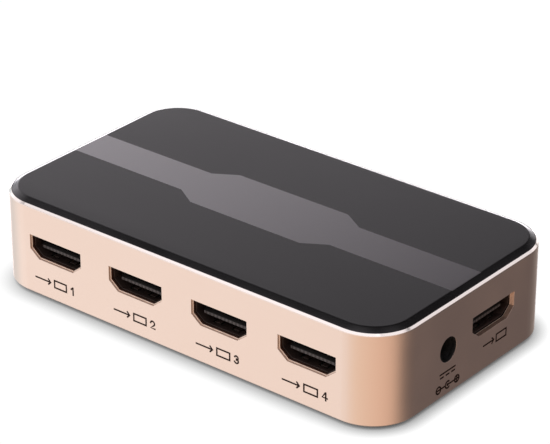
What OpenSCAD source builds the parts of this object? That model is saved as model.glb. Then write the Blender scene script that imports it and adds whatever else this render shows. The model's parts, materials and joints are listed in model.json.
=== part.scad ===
// Video splitter box: an aluminium case frame with rounded corners under a bevelled black panel.
// Output sockets face -Y, the input socket and the power jack face +X, and +Z is up.
// The origin is the middle of the underside, level with the bottom of the feet. Lengths are millimetres.

/* [Case frame] */
// Length of the case frame
case_length = 108.5; // [104:0.5:126]
// Width of the case frame from front to back
case_width = 61.2; // [58:0.2:74]
// Height of the case frame from its lower edge to its rim
case_height = 21.6; // [20.5:0.1:27]
// Outer radius of the upright corners
corner_radius = 10.5; // [9:0.5:11.5]
// Thickness of the case frame's wall
frame_wall = 1.1; // [0.9:0.1:1.5]
// Size of the polished chamfer round the rim
rim_chamfer = 0.48; // [0.3:0.02:0.6]
// Size of the chamfer along the lower edge
lower_chamfer = 0.5; // [0.2:0.05:0.6]
// Flat land between the rim's chamfer and the panel
rim_land = 0.06; // [0.04:0.01:0.25]
// Width of the ledge under the panel
ledge_width = 2.5; // [1.5:0.1:3.5]
// Thickness of the ledge
ledge_thickness = 1.2; // [0.8:0.1:1.6]
// Radius of the corner bosses that take the cover screws
boss_radius = 3; // [2.6:0.1:3.3]
// Distance from the wall's inner face to the middle of a boss
boss_distance = 3.4; // [3:0.1:4]
// Thickness of the web between a boss and the corner
boss_web = 2; // [1.5:0.1:3]

/* [Top panel] */
// Thickness of the panel
panel_thickness = 1.8; // [1.4:0.1:2.4]
// Height that the bevel lifts the panel's face above the rim
bevel_height = 0.75; // [0.4:0.05:1]
// Width of the bevel seen from above
bevel_width = 1.4; // [0.8:0.1:2.5]
// Gap between the panel's edge and the rim
panel_gap = 0.08; // [0.04:0.02:0.2]
// Thickness of the adhesive ring under the panel
adhesive_thickness = 0.15; // [0.1:0.05:0.3]
// Width of the adhesive ring
adhesive_width = 2.2; // [1.5:0.1:2.6]

/* [Bottom cover and feet] */
// Thickness of the bottom cover
cover_thickness = 1.8; // [1.5:0.1:2.4]
// Gap round the edge of the bottom cover
cover_gap = 0.1; // [0.05:0.05:0.3]
// Radius of the posts that carry the board
post_radius = 2.2; // [1.8:0.1:2.4]
// Distance of the back posts from the ends of the case
post_end_distance = 15.5; // [13:0.5:19]
// Distance of the back posts from the back of the case
post_back_distance = 6.5; // [5:0.5:9]
// Distance of the front posts from the front of the case
post_front_distance = 9; // [6:0.5:11]
// Diameter of a foot
foot_diameter = 8; // [6:0.5:10]
// Thickness of a foot
foot_thickness = 1; // [0.8:0.1:1.5]
// Height that the feet lift the case off the table
foot_lift = 0.5; // [0.3:0.1:0.7]
// Gap round a foot in its recess
foot_gap = 0.15; // [0.1:0.05:0.3]
// Distance of the feet from the ends of the case
foot_end_distance = 16; // [14:0.5:24]
// Distance of the feet from the front and the back of the case
foot_side_distance = 13; // [12:0.5:20]

/* [Screws] */
// Diameter of the screws' threads
screw_diameter = 1.9; // [1.6:0.1:2.1]
// Diameter of the screws' heads
screw_head = 3.7; // [3.2:0.1:4]
// Length of a cover screw
cover_screw_length = 8; // [6:0.5:10]
// Length of a board screw under its head
board_screw_length = 5.5; // [4.5:0.5:6.5]
// Height of a board screw's head
board_screw_head = 1.3; // [1:0.1:1.6]
// Gap all round a screw in its hole
screw_gap = 0.05; // [0.02:0.01:0.1]
// Depth of the cross recess in a head
recess_depth = 0.6; // [0.4:0.1:0.8]
// Length of the cross recess's arms from end to end
recess_length = 2.2; // [1.8:0.1:2.6]
// Width of the cross recess's arms
recess_width = 0.55; // [0.4:0.05:0.7]

/* [Board] */
// Thickness of the circuit board
board_thickness = 1.6; // [1.2:0.2:2]
// Gap between the board's edge and the wall
board_gap = 0.4; // [0.3:0.1:0.8]
// Gap round a leg or a terminal in its slot in the board
slot_gap = 0.15; // [0.1:0.05:0.3]
// Length of a leg or a terminal below the board
leg_length = 0.8; // [0.5:0.1:1.5]

/* [Video sockets] */
// Width of a socket's cut-out along its top edge
cutout_width = 15; // [14.6:0.1:16]
// Width of the cut-out's lower edge
cutout_base = 10; // [9.4:0.1:11]
// Height of the cut-out
cutout_height = 5.4; // [5.2:0.1:6]
// Height of the cut-out's upright sides
cutout_side = 3.43; // [3:0.01:3.8]
// Height of the cut-outs' top edge above the case frame's lower edge
cutout_top = 14.5; // [13.5:0.1:15.5]
// Distance from an end of the case to the middle of the nearest output socket
output_end_distance = 19.45; // [18.4:0.05:20.5]
// Distance of the input socket's middle behind the middle of the case
input_offset = 7.3; // [6:0.1:9]
// Gap between a socket's shell and its cut-out
socket_gap = 0.15; // [0.1:0.05:0.25]
// Gap between the wall's inner face and a socket's mouth
mouth_gap = 0.1; // [0.05:0.05:0.3]
// Thickness of a shell
shell_thickness = 0.3; // [0.2:0.05:0.4]
// Length of a shell from its mouth to its back
shell_length = 11; // [10:0.5:13]
// Width of a shell's leg
leg_width = 1.2; // [0.8:0.1:1.6]
// Width of a shell's spring finger
finger_width = 1.6; // [1.2:0.1:2]
// Length of a shell's spring finger
finger_length = 4.5; // [3.5:0.1:5]
// Width of the slit round a finger
finger_slit = 0.35; // [0.25:0.05:0.5]
// Length of the block that closes the back of a shell
block_length = 3.5; // [3:0.1:4]
// Gap between the block and the shell
block_gap = 0.04; // [0.02:0.01:0.1]
// Length of the tongue in front of the block
tongue_length = 6.5; // [5:0.1:6.8]
// Width of the tongue
tongue_width = 11.6; // [11:0.1:12.4]
// Thickness of the tongue
tongue_thickness = 1.2; // [1:0.1:1.4]
// Length of the slope on the tongue's tip
nose_length = 0.5; // [0.2:0.05:0.6]
// Height of the slope on the tongue's tip
nose_height = 0.4; // [0.2:0.05:0.6]
// Gap between the shell's top wall and the tongue
tongue_drop = 1.9; // [1.3:0.1:2.1]
// Spacing of the contacts along one face of the tongue
contact_pitch = 1; // [0.9:0.05:1.1]
// Width of a contact
contact_width = 0.3; // [0.2:0.05:0.35]
// Thickness of a contact
contact_thickness = 0.2; // [0.15:0.05:0.3]
// Gap round a contact in the block
contact_gap = 0.03; // [0.02:0.01:0.05]
// Distance from the tongue's tip to the tip of a contact
contact_setback = 1.4; // [0.6:0.1:2]
// Length of a contact's foot on the board
contact_foot = 1; // [0.8:0.1:1.4]

/* [Power jack] */
// Bore of the jack for the plug's barrel
jack_bore = 5.6; // [5.5:0.05:5.9]
// Amount by which the hole in the wall is wider than the bore
jack_hole_margin = 0.1; // [0.05:0.05:0.3]
// Height of the jack's axis above the case frame's lower edge
jack_height = 10.9; // [10.4:0.1:11.6]
// Distance of the jack's axis in front of the middle of the case
jack_offset = 8.6; // [8:0.1:10]
// Width of the housing
jack_width = 9; // [8.4:0.1:9.6]
// Height of the housing
jack_tall = 8; // [7.6:0.1:9]
// Length of the housing
jack_length = 12.5; // [12:0.1:14]
// Depth of the bore
bore_depth = 9.5; // [9:0.1:10.5]
// Width of the wings that rest on the board
wing_width = 1.5; // [1:0.1:2]
// Thickness of the wings
wing_thickness = 1.2; // [0.8:0.1:1.5]
// Diameter of the centre pin
pin_diameter = 2; // [1.6:0.05:2.05]
// Distance from the mouth of the bore to the tip of the centre pin
pin_recess = 2; // [1.5:0.1:3]
// Length of the pin's tapered tip
pin_tip = 0.6; // [0.3:0.1:1]
// Diameter of the pin's riveted head
pin_head = 3.2; // [2.8:0.1:3.6]
// Thickness of the jack's metal strips
strip_thickness = 0.4; // [0.3:0.05:0.5]
// Width of the jack's metal strips
strip_width = 2.2; // [1.8:0.1:2.4]
// Length of the sleeve spring from its root to its free end
spring_length = 6.65; // [6:0.05:7]
// Distance from the sleeve spring's root to its contact point
spring_contact = 4.65; // [4.2:0.05:5]
// Gap beside the sleeve spring in its slot
spring_gap = 0.3; // [0.2:0.05:0.5]
// Gap between the sleeve spring's root and its terminal
flex_gap = 0.15; // [0.1:0.05:0.2]
// Depth to which the sleeve spring reaches into the bore
spring_reach = 0.4; // [0.3:0.05:0.5]

/* [Chips] */
// Side of the splitter chip
splitter_side = 14; // [12:0.5:16]
// Height of the splitter chip above the board
splitter_height = 1.4; // [1.2:0.1:1.8]
// Number of leads on each side of the splitter chip
splitter_leads = 16; // [12:1:18]
// Spacing of the splitter chip's leads
splitter_pitch = 0.8; // [0.6:0.05:0.8]
// Thickness of the thermal pad
pad_thickness = 0.3; // [0.2:0.1:0.6]
// Side of the heat sink
sink_side = 22; // [18:0.5:24]
// Thickness of the heat sink's base
sink_base = 1.5; // [1:0.1:2]
// Height of the heat sink's fins
fin_height = 4.5; // [3:0.1:5]
// Thickness of a fin
fin_thickness = 1; // [0.8:0.1:1.4]
// Number of fins
fin_count = 7; // [5:1:9]
// Side of the controller chip
controller_side = 7; // [6:0.5:8]
// Number of leads on each side of the controller chip
controller_leads = 8; // [6:1:8]
// Spacing of the controller chip's leads
controller_pitch = 0.8; // [0.6:0.05:0.8]
// Height of the controller chip above the board
controller_height = 1.2; // [1:0.1:1.6]
// Length of the memory chip
memory_length = 4.9; // [4.5:0.1:5.5]
// Width of the memory chip
memory_width = 3.9; // [3.5:0.1:4.4]
// Height of the memory chip above the board
memory_height = 1.5; // [1.2:0.1:1.7]
// Number of leads on each side of the memory chip
memory_leads = 4; // [3:1:4]
// Spacing of the memory chip's leads
memory_pitch = 1.27; // [1.1:0.01:1.3]
// Thickness of a lead
lead_thickness = 0.15; // [0.1:0.05:0.2]
// Share of its pitch that a lead is wide
lead_share = 0.5; // [0.4:0.05:0.6]
// Reach of a lead from the side of its chip
lead_reach = 1; // [0.8:0.1:1.2]
// Distance from the side of a chip to the bend of a lead
lead_knee = 0.3; // [0.2:0.05:0.4]

/* [Power supply and small parts] */
// Side of the inductor
inductor_side = 6; // [5:0.1:7]
// Height of the inductor
inductor_height = 3; // [2:0.1:4]
// Diameter of a bulk capacitor's can
can_diameter = 6.3; // [5:0.1:6.5]
// Height of a bulk capacitor's can above its base
can_height = 6; // [4:0.1:7]
// Thickness of a bulk capacitor's base
can_base = 0.8; // [0.5:0.1:1.2]
// Margin of a bulk capacitor's base round its can
can_margin = 0.15; // [0.1:0.05:0.3]
// Length of the voltage regulator's body
regulator_length = 6.5; // [6:0.1:7]
// Width of the voltage regulator's body
regulator_width = 3.5; // [3.2:0.1:3.8]
// Height of the voltage regulator
regulator_height = 1.7; // [1.4:0.1:1.8]
// Length of the crystal's can
crystal_length = 11; // [9:0.1:12]
// Width of the crystal's can
crystal_width = 4.6; // [4:0.1:5]
// Height of the crystal's can
crystal_height = 3.5; // [3:0.1:4]
// Length, width and height of a coupling capacitor
capacitor_size = [0.5, 1, 0.5];
// Number of coupling capacitors behind each socket
capacitor_count = 8; // [4:1:8]
// Spacing of the coupling capacitors
capacitor_pitch = 1.3; // [1:0.05:1.5]
// Length, width and height of a surge array
surge_size = [2.5, 1, 0.6];
// Spacing of the two surge arrays behind each socket
surge_pitch = 6; // [4:0.5:8]
// Length, width and height of a chip resistor
resistor_size = [1.6, 0.8, 0.45];
// Distance of the first column of chip resistors from the end of the case
resistor_end_distance = 12.25; // [11:0.25:16]
// Spacing of the chip resistors
resistor_pitch = 2.4; // [2:0.1:3]

/* [Hidden] */
$fn = 72;
// Length by which a cut runs past the face that it opens
cut_over = 1;
output_count = 4;
outputs = [1 : output_count];
contacts_above = 10;
contacts_below = contacts_above - 1;
contact_count = contacts_above + contacts_below;

// Levels, from the table upwards
frame_bottom = foot_lift;
rim_z = frame_bottom + case_height;
cover_top = frame_bottom + cover_thickness;
socket_top = frame_bottom + cutout_top;
board_top = socket_top - cutout_height + socket_gap;
board_bottom = board_top - board_thickness;
leg_end = board_bottom - leg_length;
jack_z = frame_bottom + jack_height;
jack_top = jack_z + jack_tall / 2;
panel_bottom = rim_z + bevel_height - panel_thickness;
ledge_top = panel_bottom - adhesive_thickness;
ledge_bottom = ledge_top - ledge_thickness;

// Insets of the case outline
rim_inset = rim_chamfer + rim_land;
panel_inset = rim_inset + panel_gap;
ledge_inset = frame_wall + ledge_width;
adhesive_inset = ledge_inset - adhesive_width;
cover_inset = frame_wall + cover_gap;
board_inset = frame_wall + board_gap;

// Corner bosses lie on the diagonals of the rounded corners
boss_inset = corner_radius - (corner_radius - frame_wall - boss_distance) / sqrt(2);
boss_x = case_length / 2 - boss_inset;
boss_y = case_width / 2 - boss_inset;
web_length = boss_distance + frame_wall / 2;
boss_hole_top = frame_bottom + cover_screw_length + cut_over;
screw_hole = screw_diameter + 2 * screw_gap;
head_cone = (screw_head - screw_diameter) / 2;

// Video sockets, in a frame whose Y runs inwards from the mouth
socket_recess = frame_wall + mouth_gap;
output_pitch = (case_length - 2 * output_end_distance) / (output_count - 1);
cutout_slope = atan((cutout_width - cutout_base) / 2 / (cutout_height - cutout_side));
shell_inset = socket_gap;
opening_inset = shell_inset + shell_thickness;
leg_places = [shell_length / 4, 3 * shell_length / 4];
leg_x = cutout_width / 2 - shell_inset - shell_thickness / 2;
leg_top = socket_top - cutout_side + shell_thickness;
finger_start = (shell_length - block_length - finger_length) / 2;
finger_places = cutout_base / 4;
block_start = shell_length - block_length;
tongue_start = block_start - tongue_length;
tongue_top = socket_top - opening_inset - tongue_drop;
contact_back = shell_length + contact_thickness;
contact_tail = contact_back + contact_thickness + contact_foot;
surge_depth = contact_tail + surge_size[1];
capacitor_depth = surge_depth + 2 * capacitor_size[1];

// Posts and feet
posts = [
    [-output_pitch, post_front_distance - case_width / 2],
    [output_pitch, post_front_distance - case_width / 2],
    [post_end_distance - case_length / 2, case_width / 2 - post_back_distance],
    [case_length / 2 - post_end_distance, case_width / 2 - post_back_distance]
];
foot_x = case_length / 2 - foot_end_distance;
foot_y = case_width / 2 - foot_side_distance;

// Power jack, in a frame whose Y runs inwards from the mouth of its bore
spring_root = bore_depth - flex_gap;
spring_end = spring_root - spring_length;
spring_touch = spring_root - spring_contact;
spring_low = jack_z + jack_bore / 2 - spring_reach;
terminal_x = jack_width / 2 + wing_width + strip_thickness;
pin_terminal = jack_length + strip_width;

// Places on the board, from the middle of the case
splitter_at = [0, 5];
controller_at = [-25, 5];
crystal_at = [-25, 15];
memory_at = [24, 14];
inductor_at = [18, -4];
regulator_at = [27, -5];
cans_at = [[18, 5], [26, 5]];
resistors_at = [resistor_end_distance - case_length / 2, -4];
resistor_rows = 5;
resistor_columns = 3;
sink_bottom = board_top + splitter_height + pad_thickness;

// Shared shapes

// The case outline, drawn in by an inset
module outline(inset) {
    length = case_length - 2 * inset;
    width = case_width - 2 * inset;
    radius = corner_radius - inset;
    square([length - 2 * radius, width], center = true);
    square([length, width - 2 * radius], center = true);
    for (x = [-1, 1], y = [-1, 1])
        translate([x * (length / 2 - radius), y * (width / 2 - radius)])
            circle(radius);
}

// A plate with the case outline between two levels
module slab(inset, bottom, top)
    translate([0, 0, bottom])
        linear_extrude(top - bottom)
            outline(inset);

// Half of an upright section whose top edge is bevelled, and its lower edge too where foot isn't 0
function bevel_section(reach, height, bevel_w, bevel_h, foot) =
    concat([[0, 0]],
           foot > 0 ? [[reach - foot, 0], [reach, foot]] : [[reach, 0]],
           [[reach, height - bevel_h], [reach - bevel_w, height], [0, height]]);

// A plate with the case outline, a bevelled top edge and, where foot isn't 0, a chamfered lower edge
module bevelled_slab(inset, bottom, top, bevel_w, bevel_h, foot = 0) {
    length = case_length - 2 * inset;
    width = case_width - 2 * inset;
    radius = corner_radius - inset;
    height = top - bottom;
    translate([0, 0, bottom]) {
        for (x = [-1, 1], y = [-1, 1])
            translate([x * (length / 2 - radius), y * (width / 2 - radius), 0])
                rotate_extrude()
                    polygon(bevel_section(radius, height, bevel_w, bevel_h, foot));
        for (turn = [0, 180])
            rotate(turn) {
                rotate([90, 0, 0])
                    linear_extrude(width - 2 * radius, center = true)
                        polygon(bevel_section(length / 2, height, bevel_w, bevel_h, foot));
                rotate([90, 0, 90])
                    linear_extrude(length - 2 * radius, center = true)
                        polygon(bevel_section(width / 2, height, bevel_w, bevel_h, foot));
            }
    }
}

// Carries its children to each corner boss
module at_bosses()
    for (x = [-1, 1], y = [-1, 1])
        translate([x * boss_x, y * boss_y, 0])
            children();

// Carries its children to each board post
module at_posts()
    for (post = posts)
        translate([post[0], post[1], 0])
            children();

// Carries its children to each foot
module at_feet()
    for (x = [-1, 1], y = [-1, 1])
        translate([x * foot_x, y * foot_y, 0])
            children();

// Carries a socket or the jack from its own frame to its wall
module at_output(k)
    translate([(k - (output_count + 1) / 2) * output_pitch, socket_recess - case_width / 2, 0])
        children();

module at_input()
    translate([case_length / 2 - socket_recess, input_offset, 0])
        rotate(90)
            children();

module at_jack()
    translate([case_length / 2 - socket_recess, -jack_offset, 0])
        rotate(90)
            children();

module at_sockets() {
    for (k = outputs)
        at_output(k) children();
    at_input() children();
}

// Carries a flat outline inwards from a mouth, over a stretch of depth
module inwards(start, length)
    translate([0, start + length, 0])
        rotate([90, 0, 0])
            linear_extrude(length)
                children();

// Carries an outline of depth and height across the width of a socket or jack
module across(width)
    rotate([90, 0, 90])
        linear_extrude(width, center = true)
            children();

// A box set on the board, with its middle at a place
module on_board(place, size, level = board_top)
    translate([place[0] - size[0] / 2, place[1] - size[1] / 2, level])
        cube(size);

// The D-shaped socket outline, drawn in by an inset
function socket_points(inset) =
    let (side = cutout_width / 2 - inset,
         base = cutout_base / 2 - inset * tan((90 - cutout_slope) / 2),
         top = socket_top - inset,
         bend = socket_top - cutout_side + inset * tan(cutout_slope / 2),
         bottom = socket_top - cutout_height + inset)
    [[-side, top], [-side, bend], [-base, bottom], [base, bottom], [side, bend], [side, top]];

// Case

module case_frame()
    color("#e8c8b2")
        difference() {
            union() {
                difference() {
                    bevelled_slab(0, frame_bottom, rim_z, rim_chamfer, rim_chamfer, lower_chamfer);
                    slab(frame_wall, frame_bottom - cut_over, ledge_bottom);
                    slab(ledge_inset, frame_bottom - cut_over, rim_z + cut_over);
                    slab(rim_inset, ledge_top, rim_z + cut_over);
                }
                at_bosses()
                    translate([0, 0, cover_top])
                        cylinder(r = boss_radius, h = ledge_bottom - cover_top);
                for (x = [0, 1], y = [0, 1])
                    mirror([x, 0, 0])
                        mirror([0, y, 0])
                            translate([boss_x, boss_y, cover_top])
                                rotate(45)
                                    translate([0, -boss_web / 2, 0])
                                        cube([web_length, boss_web, ledge_bottom - cover_top]);
            }
            at_bosses()
                translate([0, 0, cover_top - cut_over])
                    cylinder(d = screw_hole, h = boss_hole_top - cover_top + cut_over);
            at_sockets()
                inwards(-socket_recess - cut_over, frame_wall + 2 * cut_over)
                    polygon(socket_points(0));
            at_jack()
                inwards(-socket_recess - cut_over, frame_wall + 2 * cut_over)
                    translate([0, jack_z])
                        circle(d = jack_bore + jack_hole_margin);
        }

module top_panel()
    color("#2c2b2d")
        bevelled_slab(panel_inset, panel_bottom, rim_z + bevel_height, bevel_width, bevel_height);

module panel_adhesive()
    color("#1a1a1a")
        difference() {
            slab(adhesive_inset, ledge_top, panel_bottom);
            slab(ledge_inset, ledge_top - cut_over, panel_bottom + cut_over);
        }

module bottom_cover()
    color("#222222")
        difference() {
            union() {
                slab(cover_inset, frame_bottom, cover_top);
                at_posts()
                    translate([0, 0, frame_bottom])
                        cylinder(r = post_radius, h = board_bottom - frame_bottom);
            }
            at_feet()
                translate([0, 0, frame_bottom - cut_over])
                    cylinder(d = foot_diameter + 2 * foot_gap, h = cut_over + foot_thickness - foot_lift);
            at_bosses() {
                translate([0, 0, frame_bottom - cut_over])
                    cylinder(d = screw_hole, h = cover_thickness + 2 * cut_over);
                translate([0, 0, frame_bottom])
                    cylinder(d1 = screw_head + 2 * screw_gap, d2 = screw_hole, h = head_cone);
            }
            at_posts()
                translate([0, 0, board_top - board_screw_length])
                    cylinder(d = screw_hole, h = board_screw_length);
        }

module rubber_feet()
    color("#333333")
        at_feet()
            cylinder(d = foot_diameter, h = foot_thickness);

// A cross recess, open downwards at level 0
module cross_recess()
    for (turn = [0, 90])
        rotate(turn)
            translate([-recess_length / 2, -recess_width / 2, -cut_over])
                cube([recess_length, recess_width, cut_over + recess_depth]);

module cover_screws()
    color("#55555a")
        at_bosses()
            translate([0, 0, frame_bottom])
                difference() {
                    union() {
                        cylinder(d1 = screw_head, d2 = screw_diameter, h = head_cone);
                        cylinder(d = screw_diameter, h = cover_screw_length);
                    }
                    cross_recess();
                }

// Board

module main_board()
    color("#1f6b45")
        difference() {
            slab(board_inset, board_bottom, board_top);
            at_bosses()
                translate([0, 0, board_bottom - cut_over])
                    linear_extrude(board_thickness + 2 * cut_over)
                        square(2 * (boss_inset - board_inset), center = true);
            at_posts()
                translate([0, 0, board_bottom - cut_over])
                    cylinder(d = screw_hole, h = board_thickness + 2 * cut_over);
            at_sockets()
                for (x = [-1, 1], depth = leg_places)
                    on_board([x * leg_x, depth], board_slot(shell_thickness, leg_width),
                             board_bottom - cut_over);
            at_jack() {
                on_board([0, jack_length / 2 - cut_over],
                         board_slot(jack_width, jack_length + 2 * cut_over), board_bottom - cut_over);
                on_board([0, pin_terminal], board_slot(strip_width, strip_thickness),
                         board_bottom - cut_over);
                on_board([terminal_x, bore_depth + strip_width / 2],
                         board_slot(strip_thickness, strip_width), board_bottom - cut_over);
            }
        }

// Size of the hole in the board for a leg of a given section
function board_slot(x, y) = [x + 2 * slot_gap, y + 2 * slot_gap, board_thickness + 2 * cut_over];

module board_screws()
    color("#b8b8bc")
        at_posts()
            difference() {
                union() {
                    translate([0, 0, board_top])
                        cylinder(d = screw_head, h = board_screw_head);
                    translate([0, 0, board_top - board_screw_length + cut_over])
                        cylinder(d = screw_diameter, h = board_screw_length - cut_over);
                }
                translate([0, 0, board_top + board_screw_head])
                    mirror([0, 0, 1])
                        cross_recess();
            }

// Video sockets

// The slit that frees one spring finger in the top or bottom wall of a shell
module finger_cut(x, level)
    translate([x, finger_start, level - shell_thickness])
        difference() {
            translate([-finger_width / 2 - finger_slit, -finger_slit, 0])
                cube([finger_width + 2 * finger_slit, finger_length + finger_slit, 2 * shell_thickness]);
            translate([-finger_width / 2, 0, -cut_over])
                cube([finger_width, finger_length + cut_over, 2 * shell_thickness + 2 * cut_over]);
        }

module socket_shell()
    color("#3a3a3d")
        difference() {
            union() {
                difference() {
                    inwards(0, shell_length)
                        polygon(socket_points(shell_inset));
                    inwards(-cut_over, shell_length + 2 * cut_over)
                        polygon(socket_points(opening_inset));
                }
                for (x = [-1, 1], depth = leg_places)
                    on_board([x * leg_x, depth], [shell_thickness, leg_width, leg_top - leg_end], leg_end);
            }
            for (x = [-finger_places, finger_places],
                 level = [socket_top - shell_inset, board_top + shell_thickness])
                finger_cut(x, level);
        }

// Lateral places of the contacts on the upper and the lower face of the tongue
upper_contacts = [for (i = [0 : contacts_above - 1]) (i - (contacts_above - 1) / 2) * contact_pitch];
lower_contacts = [for (i = [0 : contacts_below - 1]) (i - (contacts_below - 1) / 2) * contact_pitch];
lower_level = tongue_top - tongue_thickness - contact_thickness;

module contact_slots(places, level)
    for (x = places)
        translate([x - contact_width / 2 - contact_gap, block_start - contact_gap, level - contact_gap])
            cube([contact_width + 2 * contact_gap, block_length + cut_over,
                  contact_thickness + 2 * contact_gap]);

// The tongue's section: its tip slopes back from a low edge to the upper face
tongue_points = [
    [tongue_start, tongue_top - tongue_thickness],
    [tongue_start, tongue_top - nose_height],
    [tongue_start + nose_length, tongue_top],
    [block_start, tongue_top],
    [block_start, tongue_top - tongue_thickness]
];

module socket_insulator()
    color("#151515")
        difference() {
            union() {
                inwards(block_start, block_length)
                    polygon(socket_points(opening_inset + block_gap));
                across(tongue_width)
                    polygon(tongue_points);
            }
            contact_slots(upper_contacts, tongue_top);
            contact_slots(lower_contacts, lower_level);
        }

// One row of contacts: a strip along the tongue, a drop behind the block and a foot on the board
module contact_row(places, level)
    for (x = places)
        translate([x, 0, 0])
            across(contact_width)
                polygon([
                    [tongue_start + contact_setback, level],
                    [tongue_start + contact_setback, level + contact_thickness],
                    [contact_back + contact_thickness, level + contact_thickness],
                    [contact_back + contact_thickness, board_top + contact_thickness],
                    [contact_tail, board_top + contact_thickness],
                    [contact_tail, board_top],
                    [contact_back, board_top],
                    [contact_back, level]
                ]);

module socket_contacts()
    color("#d9b45b") {
        contact_row(upper_contacts, tongue_top);
        contact_row(lower_contacts, lower_level);
    }

// Power jack

module jack_housing()
    color("#1b1b1c")
        at_jack()
            difference() {
                union() {
                    translate([-jack_width / 2, 0, jack_z - jack_tall / 2])
                        cube([jack_width, jack_length, jack_tall]);
                    on_board([0, bore_depth / 2],
                             [jack_width + 2 * wing_width, bore_depth - strip_width, wing_thickness]);
                }
                inwards(-cut_over, bore_depth + cut_over)
                    translate([0, jack_z])
                        circle(d = jack_bore);
                inwards(0, jack_length + cut_over)
                    translate([0, jack_z])
                        circle(d = pin_diameter + 2 * contact_gap);
                translate([-strip_width / 2 - spring_gap, spring_end - spring_gap, jack_z])
                    cube([strip_width + 2 * spring_gap, spring_length - spring_gap, jack_tall]);
            }

module jack_centre_pin()
    color("#c9c9cc")
        at_jack() {
            inwards(pin_recess + pin_tip, jack_length - pin_recess - pin_tip)
                translate([0, jack_z])
                    circle(d = pin_diameter);
            translate([0, pin_recess + pin_tip, jack_z])
                rotate([90, 0, 0])
                    cylinder(d1 = pin_diameter, d2 = pin_diameter / 2, h = pin_tip);
            inwards(jack_length, strip_thickness)
                translate([0, jack_z])
                    circle(d = pin_head);
            across(strip_width)
                polygon([
                    [jack_length, jack_z - strip_thickness / 2],
                    [jack_length, jack_z + strip_thickness / 2],
                    [pin_terminal + strip_thickness / 2, jack_z + strip_thickness / 2],
                    [pin_terminal + strip_thickness / 2, leg_end],
                    [pin_terminal - strip_thickness / 2, leg_end],
                    [pin_terminal - strip_thickness / 2, jack_z - strip_thickness / 2]
                ]);
        }

module jack_sleeve_terminal()
    color("#c8b27a")
        at_jack()
            inwards(bore_depth, strip_width)
                polygon([
                    [-strip_width / 2, jack_top],
                    [-strip_width / 2, jack_top + strip_thickness],
                    [terminal_x + strip_thickness / 2, jack_top + strip_thickness],
                    [terminal_x + strip_thickness / 2, leg_end],
                    [terminal_x - strip_thickness / 2, leg_end],
                    [terminal_x - strip_thickness / 2, jack_top]
                ]);

// The leaf dips from its root over the housing to its contact point in the bore, then rises to a free end
module jack_sleeve_spring()
    color("#d8c08a")
        at_jack()
            across(strip_width)
                polygon([
                    [spring_root, jack_top + flex_gap],
                    [spring_root, jack_top + strip_thickness],
                    [spring_root - strip_width / 2, jack_top + strip_thickness],
                    [spring_touch, spring_low + strip_thickness],
                    [spring_end, spring_low + 2 * spring_reach + strip_thickness],
                    [spring_end, spring_low + 2 * spring_reach],
                    [spring_touch, spring_low],
                    [spring_root - strip_width / 2, jack_top + flex_gap]
                ]);

// Chips

// A gull-wing lead's outline: outwards from the chip's side, down to the board and out along it
function lead_points(height) =
    let (middle = height / 2)
    [[0, middle], [lead_knee, middle], [lead_knee + lead_thickness, 0], [lead_reach, 0],
     [lead_reach, lead_thickness], [lead_knee + 2 * lead_thickness, lead_thickness],
     [lead_knee + lead_thickness, middle + lead_thickness], [0, middle + lead_thickness]];

// A row of leads along one side of a chip, whose side faces +Y
module lead_row(count, pitch, height)
    for (i = [0 : count - 1])
        translate([(i - (count - 1) / 2) * pitch, 0, board_top])
            across(lead_share * pitch)
                polygon(lead_points(height));

// A chip's body, clear of the board by one lead's thickness
module chip_body(place, size)
    on_board(place, [size[0], size[1], size[2] - lead_thickness], board_top + lead_thickness);

module splitter_chip()
    color("#262628")
        chip_body(splitter_at, [splitter_side, splitter_side, splitter_height]);

module splitter_chip_leads()
    color("#bfbfc4")
        translate([splitter_at[0], splitter_at[1], 0])
            for (turn = [0 : 90 : 270])
                rotate(turn)
                    translate([0, splitter_side / 2, 0])
                        lead_row(splitter_leads, splitter_pitch, splitter_height);

module thermal_pad()
    color("#8f9aa8")
        on_board(splitter_at, [splitter_side, splitter_side, pad_thickness], board_top + splitter_height);

module heat_sink()
    color("#9a9ca0") {
        on_board(splitter_at, [sink_side, sink_side, sink_base], sink_bottom);
        for (i = [0 : fin_count - 1])
            on_board(splitter_at + [(i / (fin_count - 1) - 0.5) * (sink_side - fin_thickness), 0],
                     [fin_thickness, sink_side, sink_base + fin_height], sink_bottom);
    }

module controller_chip()
    color("#262628")
        chip_body(controller_at, [controller_side, controller_side, controller_height]);

module controller_chip_leads()
    color("#bfbfc4")
        translate([controller_at[0], controller_at[1], 0])
            for (turn = [0 : 90 : 270])
                rotate(turn)
                    translate([0, controller_side / 2, 0])
                        lead_row(controller_leads, controller_pitch, controller_height);

module memory_chip()
    color("#262628")
        chip_body(memory_at, [memory_length, memory_width, memory_height]);

module memory_chip_leads()
    color("#bfbfc4")
        translate([memory_at[0], memory_at[1], 0])
            for (turn = [0, 180])
                rotate(turn)
                    translate([0, memory_width / 2, 0])
                        lead_row(memory_leads, memory_pitch, memory_height);

// Power supply and small parts

module voltage_regulator()
    color("#2a2a2c")
        on_board(regulator_at, [regulator_length, regulator_width, regulator_height]);

module power_inductor()
    color("#3d3d40")
        on_board(inductor_at, [inductor_side, inductor_side, inductor_height]);

module bulk_capacitors()
    color("#c4c6ca")
        for (place = cans_at)
            translate([place[0], place[1], board_top + can_base])
                cylinder(d = can_diameter, h = can_height);

module bulk_capacitor_bases()
    color("#1d1d1f")
        for (place = cans_at)
            on_board(place, [can_diameter + 2 * can_margin, can_diameter + 2 * can_margin, can_base]);

module crystal()
    color("#cfd1d4")
        translate([crystal_at[0], crystal_at[1], board_top])
            linear_extrude(crystal_height) {
                square([crystal_length - crystal_width, crystal_width], center = true);
                for (x = [-1, 1])
                    translate([x * (crystal_length - crystal_width) / 2, 0])
                        circle(d = crystal_width);
            }

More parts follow.
